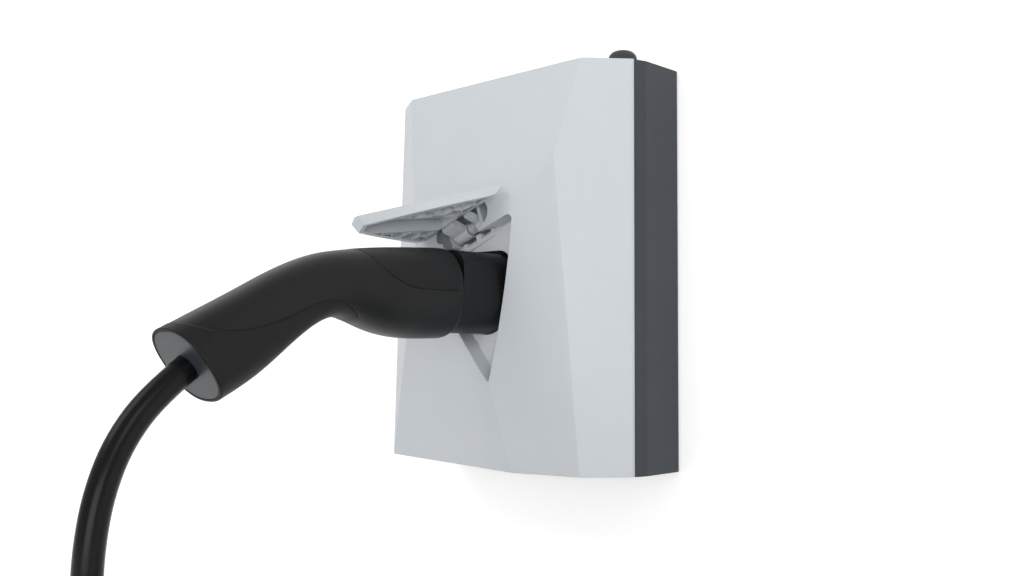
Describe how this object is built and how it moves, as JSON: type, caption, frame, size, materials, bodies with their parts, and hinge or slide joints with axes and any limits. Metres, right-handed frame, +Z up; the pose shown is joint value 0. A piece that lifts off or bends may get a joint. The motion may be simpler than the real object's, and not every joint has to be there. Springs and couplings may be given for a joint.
{
  "type": "wall charging box for electric cars",
  "caption": "Wall-mounted charging box with a faceted pale cover, a hinged flap over a three-cornered socket recess, and a plugged-in charging cable.",
  "frame": {"origin": "centre of the box's back, on the wall's surface", "axes": "+X right as one faces the box, +Y into the wall, +Z up"},
  "size_m": [0.6479, 0.4232, 0.5427],
  "materials": {
    "cover_white": "satin moulded plastic",
    "housing_grey": "fine satin anthracite plastic",
    "seal_rubber": "matte",
    "steel": "zinc plated",
    "zinc_sheet": "galvanised sheet",
    "socket_plastic": "matte",
    "contact_metal": "silver plated",
    "plug_black": "fine grained",
    "grip_soft": "soft leather grain",
    "cap_grey": "satin",
    "cable_sheath": "smooth with a low sheen",
    "tie_fabric": "woven hook and loop band",
    "board_green": "solder mask",
    "module_black": "moulded",
    "terminal_grey": "moulded"
  },
  "bodies": {
    "box": {"board_screws": "steel", "bracket_screws": "steel", "cable_coil": "cable_sheath", "charging_cable": "cable_sheath", "coil_ties": "tie_fabric", "connector_cable": "cable_sheath", "connector_end_cap": "cap_grey", "connector_grip": "plug_black", "connector_low_panel": "grip_soft", "connector_nose": "plug_black", "connector_sleeves": "contact_metal", "connector_top_panel": "plug_black", "contact_tails": "contact_metal", "cover_gasket": "seal_rubber", "cover_screws": "steel", "current_sensor": "module_black", "flap_hinge_pin": "steel", "flap_spring": "steel", "front_cover": "cover_white", "gland_body": "housing_grey", "gland_dome": "housing_grey", "gland_nut": "housing_grey", "lock_actuator": "module_black", "main_board": "board_green", "plug_end_cap": "cap_grey", "plug_grip": "plug_black", "plug_low_panel": "grip_soft", "plug_nose": "plug_black", "plug_power_pins": "contact_metal", "plug_signal_pins": "contact_metal", "plug_top_panel": "plug_black", "power_relays": "module_black", "power_sleeves": "contact_metal", "power_supply": "module_black", "rear_housing": "housing_grey", "signal_sleeves": "contact_metal", "socket_bezel": "cover_white", "socket_body": "socket_plastic", "socket_screws": "steel", "socket_seal": "seal_rubber", "terminal_block": "terminal_grey", "wall_bracket": "zinc_sheet"},
    "flap": {"flap": "cover_white"},
    "lock_pin": {"lock_pin": "steel"}
  },
  "joints": [
    {"name": "flap_hinge", "type": "hinge", "parent": "box", "child": "flap", "pos_m": [0.04751, -0.098, 0.05414], "axis": [0.9298, 0, 0.368], "range_deg": [-2.5, 10]},
    {"name": "lock_slide", "type": "slide", "parent": "box", "child": "lock_pin", "axis": [0, 0, 1], "range_m": [0, 0.006]}
  ]
}
